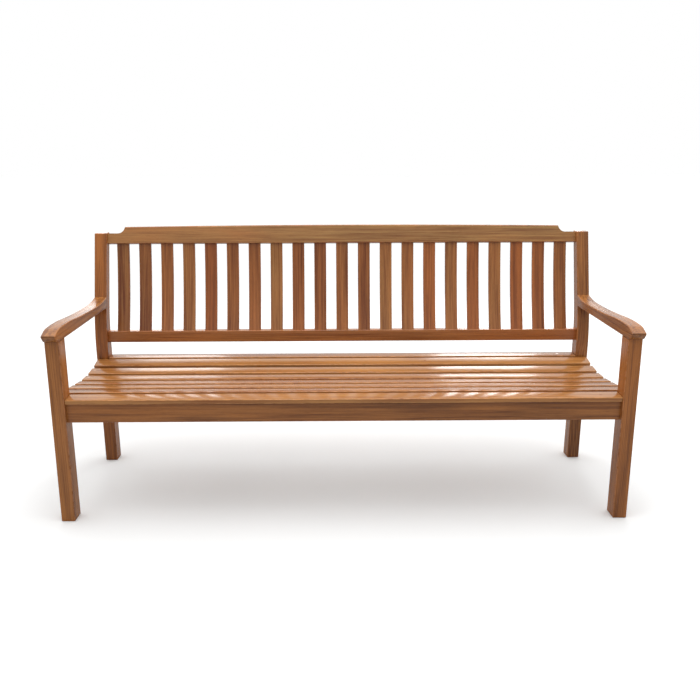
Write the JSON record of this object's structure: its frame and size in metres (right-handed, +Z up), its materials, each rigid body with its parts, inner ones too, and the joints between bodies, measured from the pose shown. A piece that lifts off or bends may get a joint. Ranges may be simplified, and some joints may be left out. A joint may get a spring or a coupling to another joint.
{
  "type": "garden bench",
  "caption": "Slatted hardwood garden bench with a dipped seat, curved back, shaped arms and a crest rail with coved shoulders; seats three people.",
  "frame": {"origin": "centre of the bounding box in X and Y, on the ground plane under the feet", "axes": "+X runs along the bench, to the right for someone who faces its front; +Y points from the front edge to the back; +Z is up"},
  "size_m": [1.83, 0.67, 0.89],
  "materials": {
    "frame_wood": "oiled, satin",
    "back_wood": "oiled, satin",
    "seat_wood": "oiled, satin",
    "plug_wood": "oiled, satin",
    "screw_steel": "plain"
  },
  "bodies": {
    "root": {"arm_left": "frame_wood", "arm_right": "frame_wood", "back_leg_left": "frame_wood", "back_leg_right": "frame_wood", "back_slat_01": "back_wood", "back_slat_02": "back_wood", "back_slat_03": "back_wood", "back_slat_04": "back_wood", "back_slat_05": "back_wood", "back_slat_06": "back_wood", "back_slat_07": "back_wood", "back_slat_08": "back_wood", "back_slat_09": "back_wood", "back_slat_10": "back_wood", "back_slat_11": "back_wood", "back_slat_12": "back_wood", "back_slat_13": "back_wood", "back_slat_14": "back_wood", "back_slat_15": "back_wood", "back_slat_16": "back_wood", "back_slat_17": "back_wood", "back_slat_18": "back_wood", "back_slat_19": "back_wood", "back_slat_20": "back_wood", "back_slat_21": "back_wood", "crest_rail": "frame_wood", "front_apron": "frame_wood", "front_leg_left": "frame_wood", "front_leg_right": "frame_wood", "lower_back_rail": "frame_wood", "rear_seat_rail": "frame_wood", "seat_bearer_left": "frame_wood", "seat_bearer_right": "frame_wood", "seat_screw_plugs": "plug_wood", "seat_screws": "screw_steel", "seat_slat_1": "seat_wood", "seat_slat_2": "seat_wood", "seat_slat_3": "seat_wood", "seat_slat_4": "seat_wood", "seat_slat_5": "seat_wood", "seat_slat_6": "seat_wood", "seat_slat_7": "seat_wood", "seat_slat_8": "seat_wood", "side_seat_rail_left": "frame_wood", "side_seat_rail_right": "frame_wood"}
  },
  "joints": []
}
